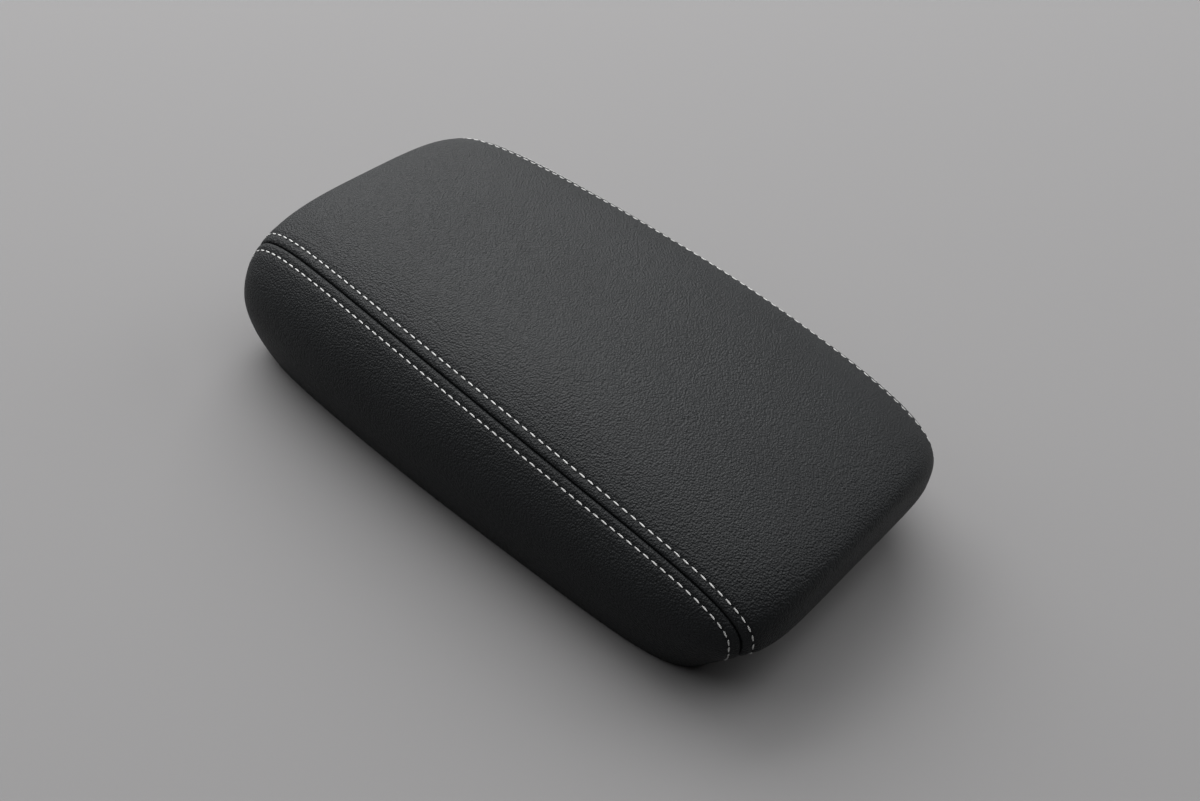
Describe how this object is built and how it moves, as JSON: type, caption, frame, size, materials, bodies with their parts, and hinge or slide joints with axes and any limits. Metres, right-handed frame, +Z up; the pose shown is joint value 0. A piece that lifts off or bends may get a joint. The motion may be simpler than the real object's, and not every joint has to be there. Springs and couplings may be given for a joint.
{
  "type": "car centre armrest",
  "caption": "Padded leather covered console armrest lid with twin stitched seams, sprung latch lever and pinned hinge bracket.",
  "frame": {"origin": "centre of the bounding box seen from above, on the surface the armrest lies on", "axes": "+Z up through the pad, +Y along its length towards the hinge, +X across"},
  "size_m": [0.164, 0.272, 0.0729],
  "materials": {
    "leather": "fine grained black leather, semi matt",
    "foam": "moulded polyurethane foam",
    "carrier_plastic": "moulded plastic, plain",
    "trim_plastic": "grained black plastic",
    "lever_plastic": "fine grained black plastic",
    "rubber": "black rubber",
    "zinc_steel": "zinc plated",
    "hinge_steel": "zinc plated pressed steel",
    "pin_steel": "ground steel",
    "spring_steel": "drawn wire",
    "nylon": "natural nylon"
  },
  "bodies": {
    "bracket": {"hinge_bracket": "hinge_steel", "hinge_pin": "pin_steel", "hinge_pin_clip": "spring_steel", "hinge_spring_left": "spring_steel", "hinge_spring_right": "spring_steel"},
    "lid": {"cover_top_panel": "leather", "cover_side_left": "leather", "cover_side_right": "leather", "foam_pad": "foam", "carrier": "carrier_plastic", "inner_panel": "trim_plastic", "inner_panel_screws": "zinc_steel", "rubber_buffers": "rubber", "latch_housing": "trim_plastic", "latch_housing_screws": "zinc_steel", "latch_pin": "pin_steel", "latch_spring": "spring_steel", "hinge_leaf": "hinge_steel", "hinge_leaf_screws": "zinc_steel", "hinge_bush_left": "nylon", "hinge_bush_right": "nylon"},
    "lever": {"latch_lever": "lever_plastic"}
  },
  "joints": [
    {"name": "lid_hinge", "type": "hinge", "parent": "bracket", "child": "lid", "pos_m": [0, 0.094, 0.0105], "axis": [-1, 0, 0], "range_deg": [0, 85]},
    {"name": "latch_pull", "type": "hinge", "parent": "lid", "child": "lever", "pos_m": [0, -0.071, 0.012], "axis": [-1, 0, 0], "range_deg": [0, 14], "stiffness_Nm_per_rad": 0.05, "springref_deg": -17.19, "deforming": ["latch_spring"]}
  ]
}
